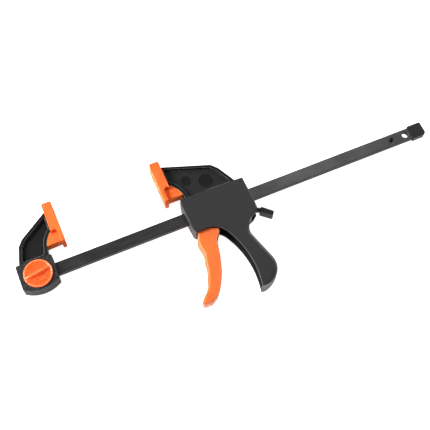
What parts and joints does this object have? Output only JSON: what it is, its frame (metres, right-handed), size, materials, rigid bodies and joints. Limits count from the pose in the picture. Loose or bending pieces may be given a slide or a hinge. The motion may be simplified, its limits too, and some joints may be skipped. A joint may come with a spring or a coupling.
{
  "type": "quick release bar clamp",
  "caption": "One-handed bar clamp: a sliding head with trigger, brake and release lever on a steel bar, with a fixed jaw that a quarter-turn knob holds for clamping or spreading.",
  "frame": {"origin": "centre of the fixed jaw's clamping face, half-way up the pad and on the clamp's middle plane", "axes": "+X along the bar to its capped end, out of the fixed jaw's face; +Y to the tips of the jaws; +Z through the fixed jaw's lock knob"},
  "size_m": [0.498, 0.1848, 0.0252],
  "materials": {
    "steel_bar": "cold-drawn steel with a dark satin plating",
    "zinc_steel": "zinc-plated steel",
    "hard_steel": "hardened steel, as ground",
    "spring_steel": "oiled spring wire",
    "grey_plastic": "glass-filled nylon, fine spark-eroded texture",
    "black_plastic": "moulded nylon, satin",
    "orange_plastic": "moulded nylon, satin",
    "orange_pad": "soft thermoplastic elastomer, matt"
  },
  "bodies": {
    "bar_assembly": {"bar": "steel_bar", "end_cap": "black_plastic", "stop_pin": "zinc_steel", "fixed_jaw": "grey_plastic", "fixed_pad": "orange_pad", "lock_washer": "zinc_steel", "catch_plate": "zinc_steel"},
    "knob": {"lock_knob": "orange_plastic", "lock_stud": "zinc_steel", "lock_cross_pin": "zinc_steel"},
    "head": {"jaw_body": "grey_plastic", "moving_pad": "orange_pad", "trigger_pin": "zinc_steel", "drive_spring": "spring_steel", "brake_spring": "spring_steel"},
    "trigger": {"trigger": "orange_plastic"},
    "drive": {"drive_plate_front": "hard_steel", "drive_plate_rear": "hard_steel"},
    "brake": {"brake_plate_front": "hard_steel", "brake_plate_rear": "hard_steel", "release_lever": "black_plastic"}
  },
  "joints": [
    {"name": "knob_turn", "type": "hinge", "parent": "bar_assembly", "child": "knob", "pos_m": [-0.0395, -0.05125, 0], "axis": [0, 0, 1], "range_deg": [0, 90]},
    {"name": "head_slide", "type": "slide", "parent": "bar_assembly", "child": "head", "axis": [1, 0, 0], "range_m": [-0.1175, 0.1817]},
    {"name": "trigger_pull", "type": "hinge", "parent": "head", "child": "trigger", "pos_m": [0.1435, -0.03775, 0], "axis": [0, 0, 1], "range_deg": [0, 24], "stiffness_Nm_per_rad": 0.4, "springref_deg": -8.59},
    {"name": "drive_push", "type": "slide", "parent": "head", "child": "drive", "axis": [1, 0, 0], "range_m": [0, 0.00985], "deforming": ["drive_spring"]},
    {"name": "brake_release", "type": "hinge", "parent": "head", "child": "brake", "pos_m": [0.185, -0.03575, 0], "axis": [0, 0, 1], "range_deg": [0, 5], "stiffness_Nm_per_rad": 0.5, "springref_deg": -8.59, "deforming": ["brake_spring"]}
  ],
  "couplings": [
    {"joint": "drive_push", "follows": "trigger_pull", "m_per_rad": 0.02347}
  ]
}
